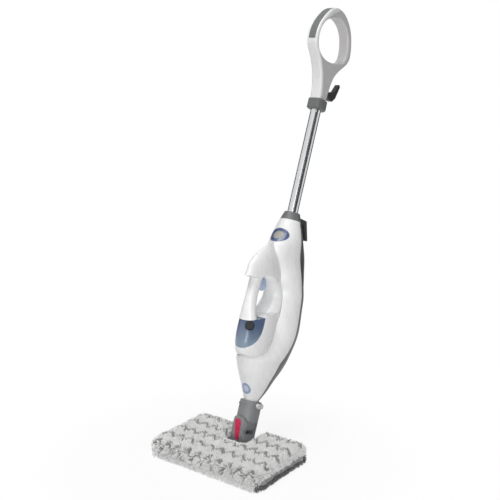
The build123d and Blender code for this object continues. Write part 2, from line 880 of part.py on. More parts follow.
# Socket that takes the tank's valve, behind the front shell, and its hose up to the pump
inlet_y = boiler_y - boiler_radius - inlet_radius - soft_gap
socket_top = valve_u + socket_radius
with BuildPart() as valve_socket:
    with BuildSketch(facing(inlet_y + inlet_radius)):
        with Locations((0, valve_u)):
            Circle(socket_radius)
    extrude(amount=far)
    add(skin(body_sections, -body_wall - fit_gap), mode=Mode.INTERSECT)
    with BuildSketch(facing(inlet_y)):
        with Locations((0, valve_u)):
            Circle(valve_radius + module_gap)
    extrude(amount=far, mode=Mode.SUBTRACT)
save(valve_socket.part, "valve_socket")

inlet_turn = (pump_low + pump_high) / 2
with BuildPart() as inlet_hose:
    with BuildLine(side):
        FilletPolyline((inlet_y, socket_top), (inlet_y, inlet_turn), (pump_y - pump_radius, inlet_turn),
                       radius=2 * inlet_radius)
    with BuildSketch(level(socket_top)):
        with Locations((0, inlet_y)):
            Circle(inlet_radius)
            Circle(inlet_bore, mode=Mode.SUBTRACT)
    sweep()
save(inlet_hose.part, "inlet_hose")

# Tank unit: hood, grip, spine and cradle in one white moulding, cut to stand clear of the body
tank_top = Plane(origin=pole.from_local_coords((0, tank_top_y, tank_top_u)), x_dir=(1, 0, 0), z_dir=(0, 0, 1))
body_clear = skin(body_sections, module_gap)
body_behind = skin(body_sections, module_gap + cradle_wall)


# Everything ahead of the cradle's lip, where the tank shows
def ahead_of_lip(shift):
    lip = [(back + shift, height) for back, height in cradle_lip]
    with BuildPart() as block:
        with BuildSketch(side):
            with BuildLine():
                Spline(*lip)
                Polyline(lip[-1], (-far, lip[-1][1]), (-far, lip[0][1]), lip[0])
            make_face()
        extrude(amount=far, both=True)
    return block.part


def above(plane):
    with BuildPart() as slab:
        with BuildSketch(plane):
            Rectangle(far, far)
        extrude(amount=far)
    return slab.part


with BuildPart() as tank_room:
    add(skin(cradle_sections, -cradle_wall, cradle_wall))
    add(body_behind, mode=Mode.SUBTRACT)
    add(above(tank_top.offset(fit_gap)), mode=Mode.SUBTRACT)

with BuildPart() as cradle:
    add(skin(cradle_sections, 0))
    add(ahead_of_lip(0), mode=Mode.SUBTRACT)
    add(above(tank_top.offset(cradle_rim)), mode=Mode.SUBTRACT)

with BuildPart() as grip:
    add(skin(grip_sections, 0))
    with BuildSketch(tank_top.offset(fit_gap)):
        Rectangle(far, far)
    extrude(amount=-far, mode=Mode.SUBTRACT)

with BuildPart() as spine:
    add(skin(spine_sections, 0))
    add(ahead_of_lip(0), mode=Mode.SUBTRACT)


# The hood's block, drawn in by a wall, with an arch over the trigger cut from below
def hood_block(wall):
    with BuildPart() as block:
        add(skin(hood_sections, -wall, wall, wall))
        with BuildSketch(side):
            with Locations((arch_y, arch_u)):
                Ellipse(arch_half_depth + wall, arch_half_height + wall)
        extrude(amount=far, both=True, mode=Mode.SUBTRACT)
    return block.part


trigger_front = trigger_back - trigger_depth
with BuildPart() as tank_housing:
    add(hood_block(0))
    add(hood_block(cradle_wall), mode=Mode.SUBTRACT)
    add(spine.part)
    add(grip.part)
    add(cradle.part)
    add(body_clear, mode=Mode.SUBTRACT)
    add(tank_room.part, mode=Mode.SUBTRACT)
    with BuildSketch(facing(trigger_back)):
        with Locations((0, trigger_u)):
            Ellipse(trigger_half_width + soft_gap, trigger_half_height + soft_gap)
    extrude(amount=trigger_depth + trigger_room, mode=Mode.SUBTRACT)
    with BuildSketch(valve_plane):
        Circle(valve_radius + fit_gap)
    extrude(amount=far, both=True, mode=Mode.SUBTRACT)
save(tank_housing.part, "tank_housing")

with BuildPart() as release_trigger:
    with BuildSketch(facing(trigger_back)):
        with Locations((0, trigger_u)):
            Ellipse(trigger_half_width, trigger_half_height)
    extrude(amount=trigger_depth)
    fillet(release_trigger.faces().sort_by(Axis(pole.origin, pole.y_dir))[-1].edges(), trigger_half_width / 3)
save(release_trigger.part, "release_trigger")

spring_plane = Plane(
    origin=pole.from_local_coords((0, trigger_front - trigger_room, trigger_u)),
    x_dir=(1, 0, 0),
    z_dir=pole.y_dir,
)
save(tube_between(spring_plane, spring_radius, spring_radius - spring_wire,
                  trigger_room - trigger_travel - parting_gap), "trigger_spring")

# Water tank: full size where it shows, stepped in where the cradle holds it
filler_normal = (
    sin(radians(filler_turn)) * cos(radians(filler_tilt)) * pole.x_dir
    - cos(radians(filler_turn)) * cos(radians(filler_tilt)) * pole.y_dir
    + sin(radians(filler_tilt)) * pole.z_dir
)
filler_plane = Plane(origin=pole.from_local_coords((filler_x, filler_y, filler_u)), z_dir=filler_normal)
tank_step = cradle_wall + fit_gap
with BuildPart() as tank_nose:
    add(skin(cradle_sections, -tank_inset, tank_inset))
    add(ahead_of_lip(-fit_gap), mode=Mode.INTERSECT)

with BuildPart() as tank_void:
    add(skin(cradle_sections, -tank_step - tank_wall, tank_step + tank_wall))
    add(skin(body_sections, module_gap + tank_step + tank_wall), mode=Mode.SUBTRACT)
    add(above(tank_top.offset(-tank_wall)), mode=Mode.SUBTRACT)

with BuildPart() as water_tank:
    add(skin(cradle_sections, -tank_step, tank_step))
    add(tank_nose.part)
    add(skin(body_sections, module_gap + tank_step), mode=Mode.SUBTRACT)
    add(above(tank_top), mode=Mode.SUBTRACT)
    add(tank_void.part, mode=Mode.SUBTRACT)
    with BuildSketch(filler_plane):
        Circle(filler_radius + module_gap)
    extrude(amount=far, mode=Mode.SUBTRACT)
    with BuildSketch(filler_plane):
        Circle(filler_neck_radius + running_gap)
    extrude(amount=-filler_reach, mode=Mode.SUBTRACT)
    with BuildSketch(facing(-cradle_wall)):
        with Locations((0, valve_u)):
            Circle(valve_radius + fit_gap)
    extrude(amount=valve_inner, mode=Mode.SUBTRACT)
save(water_tank.part, "water_tank")

seal_bore = filler_neck_radius + soft_gap
save(tube_between(filler_plane, filler_radius - module_gap, seal_bore, seal_height), "cap_seal")

with BuildPart() as filler_cap:
    with BuildSketch(filler_plane.offset(seal_height)):
        Circle(filler_radius)
    extrude(amount=filler_cap_height)
    fillet(filler_cap.faces().sort_by(
        Axis(filler_plane.origin, filler_normal))[-1].edges(), filler_cap_height / 4)
    with BuildSketch(filler_plane.offset(seal_height)):
        Circle(filler_neck_radius)
    extrude(amount=-seal_height - filler_reach / 2)
save(filler_cap.part, "filler_cap")

with BuildPart() as tank_valve:
    with BuildSketch(facing(valve_y)):
        with Locations((0, valve_u)):
            Circle(valve_radius)
    extrude(amount=valve_y + valve_inner)
    with BuildSketch(facing(-valve_inner)):
        with Locations((0, valve_u)):
            Circle(1.5 * valve_radius)
    extrude(amount=valve_radius / 2)
save(tank_valve.part, "tank_valve")

# Pole tube, the snap button in it and the collar above it
snap_out_way = sin(radians(snap_turn)) * pole.x_dir - cos(radians(snap_turn)) * pole.y_dir
snap_plane = Plane(origin=pole.from_local_coords((0, 0, snap_height)), x_dir=pole.z_dir, z_dir=snap_out_way)
tube_bore = tube_radius - tube_wall
with BuildPart() as pole_tube:
    with BuildSketch(level(tube_low)):
        Circle(tube_radius)
        Circle(tube_bore, mode=Mode.SUBTRACT)
    extrude(amount=tube_high - tube_low)
    with BuildSketch(snap_plane):
        Circle(snap_radius + running_gap)
    extrude(amount=far, mode=Mode.SUBTRACT)
save(pole_tube.part, "pole_tube")

flange_seat = tube_bore - snap_radius / 2
with BuildPart() as snap_button:
    with BuildSketch(snap_plane.offset(flange_seat)):
        Circle(snap_radius)
    extrude(amount=tube_radius + snap_out - flange_seat)
    fillet(snap_button.faces().sort_by(Axis(pole.origin, snap_out_way))[-1].edges(), snap_out / 2)
    with BuildSketch(snap_plane.offset(flange_seat)):
        Circle(1.5 * snap_radius)
    extrude(amount=-snap_travel)
save(snap_button.part, "snap_button")

with BuildPart() as handle_collar:
    with BuildSketch(level(handle_collar_low)):
        RectangleRounded(handle_collar_x, handle_collar_y, handle_collar_corner)
    extrude(amount=handle_low - handle_collar_low)
    chamfer(handle_collar.faces().sort_by(Axis(pole.origin, pole.z_dir))[0].edges(), handle_collar_bevel)
    with BuildSketch(level(tube_low)):
        Circle(tube_radius + fit_gap)
    extrude(amount=far, mode=Mode.SUBTRACT)
save(handle_collar.part, "handle_collar")


# Points set in to the right of a curve by one distance
def set_in(points, amount, closed):
    with BuildLine() as path:
        Spline(*points, periodic=closed)
    curve = path.edges()[0]
    shares = [step / set_in_steps for step in range(set_in_steps if closed else set_in_steps + 1)]
    places = [(curve @ share, curve % share) for share in shares]
    return [(place.X + amount * way.Y, place.Y - amount * way.X) for place, way in places]


# A slab of the handle's side view, set in from its outer line
def handle_slab(inset, half):
    outline = set_in(handle_outline, inset, False) if inset else handle_outline
    with BuildPart() as slab:
        with BuildSketch(side):
            with BuildLine():
                Spline(*outline)
                Line(outline[-1], outline[0])
            make_face()
        extrude(amount=half, both=True)
    return slab.part


# The whole handle: a loop on a neck, set in by one amount all round
def handle_blank(inset, half):
    hole = set_in(handle_hole, -inset, True) if inset else handle_hole
    with BuildPart() as blank:
        add(handle_slab(inset, half))
        with BuildSketch(side):
            with BuildLine():
                Spline(*hole, periodic=True)
            make_face()
        extrude(amount=half, both=True, mode=Mode.SUBTRACT)
    return blank.part


# Everything ahead of the line where the front strip meets the two shells
def ahead_of_strip(shift):
    line = [(back + shift, height) for back, height in strip_line]
    with BuildPart() as block:
        with BuildSketch(side):
            with BuildLine():
                Spline(*line)
                Polyline(line[-1], (line[-1][0], far + line[-1][1]), (-far, far + line[-1][1]), (-far, 0),
                         (line[0][0], 0), line[0])
            make_face()
        extrude(amount=far, both=True)
    return block.part


# A band let into the strip's outer face, grown by a gap for its room
def insert_band(gap):
    with BuildPart() as band:
        add(handle_slab(0, insert_half + gap))
        add(handle_slab(insert_depth + gap, insert_half + gap), mode=Mode.SUBTRACT)
        with BuildSketch(side):
            with Locations((insert_back + gap - far / 2, insert_low - gap + far / 2)):
                Rectangle(far, far)
        extrude(amount=far, both=True, mode=Mode.INTERSECT)
    return band.part


with BuildPart() as handle_solid:
    add(handle_blank(0, handle_half))
    flanks = handle_solid.faces().filter_by(Axis.X)
    rims = [edge for edge in flanks.edges() if edge.geom_type != GeomType.LINE]
    fillet(rims, handle_round)
    with BuildSketch(level(tube_low)):
        Circle(tube_radius + fit_gap)
    extrude(amount=tube_high + fit_gap - tube_low, mode=Mode.SUBTRACT)
    with BuildSketch(facing(0)):
        with Locations((0, spindle_height)):
            Circle(spindle_radius + fit_gap)
    extrude(amount=-far, mode=Mode.SUBTRACT)
handle_cavity = handle_blank(handle_wall, handle_half - handle_wall)

with BuildPart() as handle_front_strip:
    add(handle_solid.part)
    add(ahead_of_strip(0), mode=Mode.INTERSECT)
    add(handle_cavity, mode=Mode.SUBTRACT)
    add(insert_band(fit_gap), mode=Mode.SUBTRACT)
save(handle_front_strip.part, "handle_front_strip")
save(insert_band(0), "grip_insert")

with BuildPart() as handle_posts:
    with BuildSketch(side):
        with Locations(*handle_screws_at):
            Circle(handle_post_radius)
    extrude(amount=handle_half - handle_wall / 2, both=True)


# One half of the handle: way is +1 for the right shell and -1 for the left
def handle_shell(way):
    with BuildPart() as shell:
        add(handle_solid.part)
        add(ahead_of_strip(parting_gap), mode=Mode.SUBTRACT)
        add(handle_cavity, mode=Mode.SUBTRACT)
        add(handle_posts.part)
        with BuildSketch(side.offset(way * parting_gap / 2)):
            with Locations((0, handle_low)):
                Rectangle(2 * far, 2 * far)
        extrude(amount=-way * far, mode=Mode.SUBTRACT)
        with BuildSketch(side.offset(-handle_half)):
            with Locations(*handle_screws_at):
                Circle(screw_radius + fit_gap)
        extrude(amount=2 * handle_half - handle_wall, mode=Mode.SUBTRACT)
        with BuildSketch(side.offset(-handle_half)):
            with Locations(*handle_screws_at):
                Circle(screw_head_radius + fit_gap)
        extrude(amount=handle_wall, mode=Mode.SUBTRACT)
    return shell.part


save(handle_shell(1), "handle_right_shell")
save(handle_shell(-1), "handle_left_shell")

with BuildPart() as handle_screws:
    seat = side.offset(-handle_half + handle_wall)
    with BuildSketch(seat):
        with Locations(*handle_screws_at):
            Circle(screw_radius)
    extrude(amount=2 * handle_half - 3 * handle_wall)
    with BuildSketch(seat):
        with Locations(*handle_screws_at):
            Circle(screw_head_radius)
    extrude(amount=-screw_head_height)
save(handle_screws.part, "handle_screws")

# Upper cord hook, turning on a spindle in the handle's back
with BuildPart() as hook_spindle:
    with BuildSketch(facing(tube_radius + 2 * fit_gap)):
        with Locations((0, spindle_height)):
            Circle(spindle_radius)
    extrude(amount=tube_radius + 2 * fit_gap - spindle_end)
save(hook_spindle.part, "hook_spindle")

with BuildPart() as upper_cord_hook:
    with BuildSketch(side):
        with BuildLine():
            Polyline(*wing_outline, close=True)
        make_face()
    extrude(amount=wing_half, both=True)
    fillet(upper_cord_hook.edges().filter_by(Axis.X), wing_round)
    with BuildSketch(facing(hook_boss_front)):
        with Locations((0, spindle_height)):
            Circle(hook_boss_radius)
    extrude(amount=hook_boss_front - hook_boss_back)
    with BuildSketch(facing(0)):
        with Locations((0, spindle_height)):
            Circle(spindle_radius + running_gap)
    extrude(amount=-spindle_end - running_gap, mode=Mode.SUBTRACT)
save(upper_cord_hook.part, "upper_cord_hook")
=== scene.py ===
from math import cos, pi, radians, sin

import bpy
import numpy as np
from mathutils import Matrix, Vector


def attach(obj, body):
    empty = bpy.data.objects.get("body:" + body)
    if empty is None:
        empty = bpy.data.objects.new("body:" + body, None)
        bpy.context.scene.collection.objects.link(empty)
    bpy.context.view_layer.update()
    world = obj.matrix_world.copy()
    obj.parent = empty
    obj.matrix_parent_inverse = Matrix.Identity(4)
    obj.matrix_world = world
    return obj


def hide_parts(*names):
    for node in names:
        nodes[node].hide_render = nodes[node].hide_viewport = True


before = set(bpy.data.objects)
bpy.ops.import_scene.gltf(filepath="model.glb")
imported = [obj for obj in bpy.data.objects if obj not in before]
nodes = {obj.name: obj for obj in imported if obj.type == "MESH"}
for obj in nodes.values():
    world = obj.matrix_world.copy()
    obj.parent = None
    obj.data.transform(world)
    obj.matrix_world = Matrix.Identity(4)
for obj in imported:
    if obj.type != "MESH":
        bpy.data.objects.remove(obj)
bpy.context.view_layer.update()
print("steam mop: frame with", len(nodes), "nodes")

# the pole leans back by this angle about the flip hinge; y and u below are measured in its plane
pole = {"lean": radians(22.0), "hinge": (0.0, 0.045, 0.0193)}


class Wire:
    # one socket of a material; sums and products of wires add Math nodes
    def __init__(self, tree, socket=None):
        self.tree = tree
        self.socket = socket

    def node(self, kind, settings=None, sockets=None, give=0):
        # any other node: its type, then its settings, then the values or links of its sockets
        made = self.tree.nodes.new(kind)
        for key, value in (settings or {}).items():
            if key == "stops":
                ramp = made.color_ramp
                while len(ramp.elements) < len(value):
                    ramp.elements.new(1.0)
                for stop, (place, tint) in zip(ramp.elements, value):
                    stop.position = place
                    stop.color = (*tint, 1.0)
            else:
                setattr(made, key, value)
        for key, value in (sockets or {}).items():
            if isinstance(value, Wire):
                self.tree.links.new(value.socket, made.inputs[key])
            else:
                made.inputs[key].default_value = value
        return Wire(self.tree, made.outputs[give]) if made.outputs else None

    def maths(self, operation, *terms):
        return self.node("ShaderNodeMath", {"operation": operation}, dict(enumerate(terms)))

    def __add__(self, other):
        return self.maths("ADD", self, other)

    def __sub__(self, other):
        return self.maths("SUBTRACT", self, other)

    def __rsub__(self, other):
        return self.maths("SUBTRACT", other, self)

    def __mul__(self, other):
        return self.maths("MULTIPLY", self, other)

    def __truediv__(self, other):
        return self.maths("DIVIDE", self, other)

    __radd__ = __add__
    __rmul__ = __mul__

    # a value held between two limits and spread over 0 to 1
    def between(self, low, high):
        limits = {0: self, 1: low, 2: high}
        return self.node("ShaderNodeMapRange", {"interpolation_type": "SMOOTHSTEP"}, limits)

    # two colours mixed by this value
    def tints(self, first, second):
        return self.node("ShaderNodeMix", {"data_type": "RGBA"}, {0: self, 6: first, 7: second}, 2)

    # parts of a vector
    def parts(self):
        split = self.node("ShaderNodeSeparateXYZ", {}, {0: self}).socket.node
        return [Wire(self.tree, split.outputs[i]) for i in range(3)]


def shade(rgb, factor=1.0):
    return (*[min(1.0, c * factor) for c in rgb], 1.0)


def newFinish(name, recipe):
    skin = bpy.data.materials.new(name)
    skin.use_nodes = True
    skin.node_tree.nodes.clear()
    wire = Wire(skin.node_tree)
    wire.node("ShaderNodeOutputMaterial", {}, {"Surface": recipe(wire)})
    return skin


def objectPlace(wire):
    return wire.node("ShaderNodeTexCoord", {}, {}, 3)


# object place turned so that its third part runs up along the pole
def polePlace(wire):
    return wire.node("ShaderNodeMapping", {}, {0: objectPlace(wire), 2: (pole["lean"], 0.0, 0.0)})


def noise(wire, place, scale, detail=2.0, rough=0.5):
    sockets = {"Vector": place, "Scale": scale, "Detail": detail, "Roughness": rough}
    return wire.node("ShaderNodeTexNoise", {}, sockets)


def stretched(wire, place, factors):
    return wire.node("ShaderNodeVectorMath", {"operation": "MULTIPLY"}, {0: place, 1: factors})


def bumped(wire, height, strength, distance=0.001):
    return wire.node("ShaderNodeBump", {}, {"Height": height, "Strength": strength, "Distance": distance})


# moulded plastic: tint drifts by the broad noise, gloss varies with handling marks, skin has fine pimples
def moulded(name, tint, gloss, grain, depth, drift=0.04, **extra):
    def recipe(wire):
        place = objectPlace(wire)
        broad = noise(wire, place, 9.0, 3.0)
        marks = noise(wire, stretched(wire, place, (1.0, 1.0, 0.25)), 55.0, 4.0, 0.65).between(0.42, 0.72)
        pimples = noise(wire, place, grain, 2.0)
        sockets = {
            "Base Color": broad.tints(shade(tint, 1.0 - drift), shade(tint, 1.0 + drift)),
            "Roughness": marks * 0.12 + (gloss + broad * 0.05),
            "Normal": bumped(wire, pimples, depth, 0.0006),
        }
        return wire.node("ShaderNodeBsdfPrincipled", {}, {**sockets, **extra})
    return newFinish(name, recipe)


# polished tube: metal with drawing lines along the pole
def drawnMetal(name, tint, gloss, lines):
    def recipe(wire):
        place = polePlace(wire)
        streaks = noise(wire, stretched(wire, place, (1.0, 1.0, 0.01)), lines, 3.0, 0.6)
        haze = noise(wire, place, 14.0, 3.0)
        sockets = {
            "Base Color": haze.tints(shade(tint, 0.95), shade(tint, 1.03)),
            "Metallic": 1.0,
            "Roughness": streaks * 0.08 + (gloss + haze * 0.05),
            "Normal": bumped(wire, streaks, 0.05, 0.0002),
        }
        return wire.node("ShaderNodeBsdfPrincipled", {}, sockets)
    return newFinish(name, recipe)


# bare metal inside: grain from a noise, stained by a broad one
def bareMetal(name, tint, gloss, grain):
    def recipe(wire):
        place = objectPlace(wire)
        fine = noise(wire, place, grain, 4.0, 0.7)
        stain = noise(wire, place, 40.0, 3.0)
        sockets = {
            "Base Color": stain.tints(shade(tint, 0.8), shade(tint, 1.05)),
            "Metallic": 1.0,
            "Roughness": fine * 0.2 + (gloss + stain * 0.1),
            "Normal": bumped(wire, fine, 0.15, 0.0003),
        }
        return wire.node("ShaderNodeBsdfPrincipled", {}, sockets)
    return newFinish(name, recipe)


# grip rubber: small raised squares in rows that follow the loop, from its angle about the loop's middle
grip = {"tint": (0.2, 0.21, 0.215), "middle": (-0.005, 1.075), "radius": 0.086, "pitch": 0.0052}


def gripRubber(name):
    def recipe(wire):
        x, y, z = objectPlace(wire).parts()
        c, s = cos(pole["lean"]), sin(pole["lean"])
        hy, hz = pole["hinge"][1], pole["hinge"][2]
        back = (y - hy) * c - (z - hz) * s - grip["middle"][0]
        up = (y - hy) * s + (z - hz) * c - grip["middle"][1]
        arc = wire.maths("ARCTAN2", up, back) * grip["radius"]
        turn = 2.0 * pi / grip["pitch"]
        rows = wire.maths("SINE", arc * turn).between(-0.75, -0.2)
        columns = wire.maths("COSINE", x * turn).between(-0.75, -0.2)
        squares = rows * columns
        fine = noise(wire, objectPlace(wire), 1800.0, 2.0)
        sockets = {
            # the grooves between the squares are painted darker: painted shade in the recesses
            "Base Color": squares.tints(shade(grip["tint"], 0.72), shade(grip["tint"], 1.06)),
            "Roughness": fine * 0.15 + (0.62 - squares * 0.08),
            "Normal": bumped(wire, squares + fine * 0.15, 0.7, 0.0008),
        }
        return wire.node("ShaderNodeBsdfPrincipled", {}, sockets)
    return newFinish(name, recipe)


# tinted clear tank: light passes; paler towards its bottom by height along the pole, with faint flow lines
tank = {
    "high": (0.12, 0.17, 0.3), "low": (0.36, 0.47, 0.57), "span": (0.262, 0.352),
    "gloss": 0.08, "clear": 0.35,
}


def clearTank(name):
    def recipe(wire):
        place = objectPlace(wire)
        up = polePlace(wire).parts()[2]
        flow = noise(wire, stretched(wire, place, (1.0, 1.0, 0.3)), 70.0, 2.0)
        rise = (up + flow * 0.012).between(*tank["span"])
        sockets = {
            "Base Color": rise.tints(shade(tank["low"]), shade(tank["high"])),
            "Roughness": flow * 0.06 + tank["gloss"],
            "Normal": bumped(wire, flow, 0.03, 0.0006),
            "IOR": 1.46,
            "Transmission Weight": tank["clear"],
        }
        return wire.node("ShaderNodeBsdfPrincipled", {}, sockets)
    return newFinish(name, recipe)


# badge plate: satin metal paint with sparkle
def satinPlate(name, tint):
    def recipe(wire):
        place = objectPlace(wire)
        sparkle = noise(wire, place, 2600.0, 2.0)
        cloud = noise(wire, place, 60.0, 2.0)
        sockets = {
            "Base Color": cloud.tints(shade(tint, 0.9), shade(tint, 1.1)),
            "Metallic": 0.2,
            "Roughness": sparkle * 0.2 + 0.5,
            "Normal": bumped(wire, sparkle, 0.2, 0.0002),
        }
        return wire.node("ShaderNodeBsdfPrincipled", {}, sockets)
    return newFinish(name, recipe)


finishes = {
    "white": moulded("whiteGloss", (0.82, 0.82, 0.822), 0.24, 900.0, 0.035, 0.012),
    # painted shade: the handle's side shells are grey where the white handle's flat sides turn from the
    # light; the latch button's light grey is its own
    "paleGreyAndSideShade": moulded("handleSidePaintedShade", (0.58, 0.57, 0.57), 0.3, 1100.0, 0.06, 0.02),
    # painted shade: the rear cover is made near black so that the back edge, turned from the light, shows
    # dark
    "rear": moulded("rearCoverShadeDark", (0.065, 0.062, 0.06), 0.34, 900.0, 0.05, 0.03),
    "grey": moulded("neckGrey", (0.2, 0.205, 0.21), 0.42, 1800.0, 0.22),
    "collar": moulded("collarGrey", (0.135, 0.14, 0.14), 0.4, 1800.0, 0.2),
    "darkGrey": moulded("capGrey", (0.022, 0.023, 0.026), 0.48, 1600.0, 0.15, 0.06,
                        **{"Specular IOR Level": 0.2}),
    "black": moulded("hookBlack", (0.018, 0.018, 0.019), 0.4, 2000.0, 0.25, 0.1),
    "red": moulded("coverRed", (0.55, 0.012, 0.07), 0.22, 1000.0, 0.05),
    "trigger": moulded("triggerBlue", (0.42, 0.53, 0.75), 0.22, 1000.0, 0.04),
    "bezel": moulded("bezelBlue", (0.05, 0.085, 0.19), 0.2, 1000.0, 0.03, **{"Coat Weight": 0.4}),
    "lampRing": moulded("lampRingBlue", (0.28, 0.36, 0.56), 0.2, 1200.0, 0.04),
    "lampLens": moulded("lampFrosted", (0.66, 0.71, 0.82), 0.3, 1500.0, 0.08,
                        **{"Transmission Weight": 0.25}),
    "rubber": moulded("sealRubber", (0.03, 0.03, 0.03), 0.62, 2200.0, 0.2, 0.1),
    "hose": moulded("hoseRubber", (0.08, 0.08, 0.08), 0.58, 1500.0, 0.2, 0.1),
    "board": moulded("boardGreen", (0.02, 0.16, 0.05), 0.35, 800.0, 0.2, 0.15),
    "plate": satinPlate("badgeSilver", (0.34, 0.32, 0.3)),
    "grip": gripRubber("gripInsert"),
    "tank": clearTank("tankClear"),
    "tube": drawnMetal("poleMetal", (0.66, 0.67, 0.685), 0.17, 700.0),
    "steel": bareMetal("screwSteel", (0.55, 0.55, 0.56), 0.3, 1500.0),
    "brass": bareMetal("pipeBrass", (0.6, 0.45, 0.2), 0.25, 1200.0),
    "cast": bareMetal("boilerCast", (0.6, 0.6, 0.6), 0.45, 500.0),
}

worn = {
    "white": ["body_front_shell", "tank_housing", "handle_front_strip"],
    # the grey handle side shells are painted shade on white plastic; the latch button's grey is its own
    # colour
    "paleGreyAndSideShade": ["handle_right_shell", "handle_left_shell", "latch_button"],
    # the near-black rear cover is painted shade along the back edge of the white body
    "rear": ["body_rear_cover"],
    "collar": ["body_collar", "handle_collar"],
    "grey": ["neck_yoke", "neck_connector", "head_lower_plate", "head_upper_plate"],
    "darkGrey": ["filler_cap"],
    "black": ["lower_cord_hook", "upper_cord_hook", "cord_gland", "swivel_cap", "tank_valve", "valve_socket",
              "pump"],
    "red": ["yoke_cover"],
    "trigger": ["release_trigger"],
    "bezel": ["badge_bezel"],
    "plate": ["badge_plate"],
    "lampRing": ["lamp_ring"],
    "lampLens": ["lamp_lens"],
    "rubber": ["cap_seal"],
    "hose": ["water_hose", "steam_hose", "inlet_hose"],
    "board": ["control_board"],
    "grip": ["grip_insert"],
    "tank": ["water_tank"],
    "tube": ["pole_tube"],
    "steel": ["body_screws", "handle_screws", "head_screws", "latch_spring", "trigger_spring", "flip_axle",
              "swivel_pin", "hook_spindle", "snap_button"],
    "brass": ["steam_pipes", "neck_steam_pipe"],
    "cast": ["boiler"],
}
for look, members in worn.items():
    for member in members:
        nodes[member].data.materials.clear()
        nodes[member].data.materials.append(finishes[look])
print("steam mop:", sum(len(m) for m in worn.values()), "nodes dressed")


def toMesh(name, points, faces, sides, uv=None):
    # faces is a flat run of corner numbers, sides the corners of each face
    mesh = bpy.data.meshes.new(name)
    mesh.vertices.add(len(points))
    mesh.vertices.foreach_set("co", points.astype(np.float32).ravel())
    mesh.loops.add(len(faces))
    mesh.loops.foreach_set("vertex_index", faces.astype(np.int32))
    mesh.polygons.add(len(sides))
    mesh.polygons.foreach_set("loop_start", (np.cumsum(sides) - sides).astype(np.int32))
    mesh.polygons.foreach_set("use_smooth", np.ones(len(sides), bool))
    mesh.update(calc_edges=True)
    if uv is not None:
        layer = mesh.uv_layers.new(name="UVMap")
        layer.data.foreach_set("uv", uv[faces].astype(np.float32).ravel())
    mesh.validate()
    made = bpy.data.objects.new(name, mesh)
    bpy.context.scene.collection.objects.link(made)
    return made


# zigzag rows of grey yarn, parallel to the long edge
fleece = {
    "voxel": 0.004, "lift": 0.0028, "lump": 0.0012, "pull": 0.003,
    "rowPitch": 0.0465, "rowStart": -0.098, "band": 0.0047, "ragged": 0.0006, "roll": (-0.088, 0.036),
    "zigPeriod": 0.0315, "zigShift": 0.016, "zigHeight": 0.0105,
    # the dark tone is painted shade for the pile at the lower layer's end
    "white": (0.94, 0.94, 0.935), "grey": (0.34, 0.34, 0.32), "dark": (0.13, 0.125, 0.125),
}


# distance in y from the nearest zigzag row: triangle wave in x about rows a pitch apart;
# past the front edge the drop below the top counts as more y, so that the first row rolls over it
def zigzagGap(points):
    wave = 2.0 * np.abs(((points[:, 0] + fleece["zigShift"]) / fleece["zigPeriod"]) % 1.0 - 0.5)
    rise = (wave - 0.5) * fleece["zigHeight"] * 2.0
    edge, top = fleece["roll"]
    along = points[:, 1] - np.where(points[:, 1] < edge, np.maximum(top - points[:, 2], 0.0), 0.0)
    steps = (along - fleece["rowStart"] - rise) / fleece["rowPitch"]
    return np.abs(steps - np.round(steps)) * fleece["rowPitch"]


# smooth random field of whole arrays: sum of sines in fixed directions
def swirl(points, scale, seed):
    random = np.random.default_rng(seed)
    way = random.normal(size=(5, 3))
    way = way / np.linalg.norm(way, axis=1, keepdims=True) * scale * random.uniform(0.7, 1.5, (5, 1))
    return np.sin(points @ way.T + random.uniform(0, 2 * pi, 5)).sum(1) / 5.0


# the backing shows between the strands: knit grain over a broad drift of tone
def backingCloth(name):
    def recipe(wire):
        place = objectPlace(wire)
        knit = noise(wire, place, 420.0, 3.0, 0.7)
        tone = noise(wire, place, 60.0, 2.0)
        mottle = knit * 0.6 + tone * 0.4
        sockets = {
            "Base Color": mottle.tints(shade(fleece["white"], 0.6), shade(fleece["white"], 0.9)),
            "Roughness": knit * 0.1 + 0.85,
            "Normal": bumped(wire, knit, 0.6, 0.002),
            "Sheen Weight": 0.3,
        }
        return wire.node("ShaderNodeBsdfPrincipled", {}, sockets)
    return newFinish(name, recipe)


# yarn: each strand its own tone, with painted shade that darkens it towards the root, paler at the tip; u is
# the strand, v runs along it
def yarn(name, tint, spread):
    def recipe(wire):
        strand, along = wire.node("ShaderNodeTexCoord", {}, {}, 2).parts()[:2]
        tone = wire.maths("SINE", strand * 21.0) * 0.3 + wire.maths("SINE", strand * 57.0) * 0.2 + 0.5
        fibre = noise(wire, objectPlace(wire), 1400.0, 2.0)
        # painted shade: the along term darkens each strand towards its root, as among the strands
        lit = (tone * 0.55 + along * 0.45).between(0.0, 1.0)
        sockets = {
            "Base Color": lit.tints(shade(tint, 1.0 - spread), shade(tint, 1.0 + spread * 0.5)),
            "Roughness": fibre * 0.12 + 0.8,
            "Normal": bumped(wire, fibre, 0.35, 0.0006),
            "Sheen Weight": 0.35,
            "Subsurface Weight": 0.2,
            "Subsurface Radius": (1.0, 1.0, 1.0),
            "Subsurface Scale": 0.004,
        }
        return wire.node("ShaderNodeBsdfPrincipled", {}, sockets)
    return newFinish(name, recipe)


clothSkin = backingCloth("padBacking")
whiteYarn = yarn("pileWhite", fleece["white"], 0.06)
greyYarn = yarn("pileGrey", fleece["grey"], 0.2)
# painted shade: dark grey yarn for the lower layer's end, which lies in shadow at the pocket's open end
endShadeYarn = yarn("pileEndShade", fleece["dark"], 0.3)


def arraysOf(mesh):
    mesh.calc_loop_triangles()
    points = np.empty(len(mesh.vertices) * 3)
    mesh.vertices.foreach_get("co", points)
    normals = np.empty(len(mesh.vertices) * 3)
    mesh.vertices.foreach_get("normal", normals)
    corners = np.empty(len(mesh.loop_triangles) * 3, np.int32)
    mesh.loop_triangles.foreach_get("vertices", corners)
    return points.reshape(-1, 3), normals.reshape(-1, 3), corners.reshape(-1, 3)


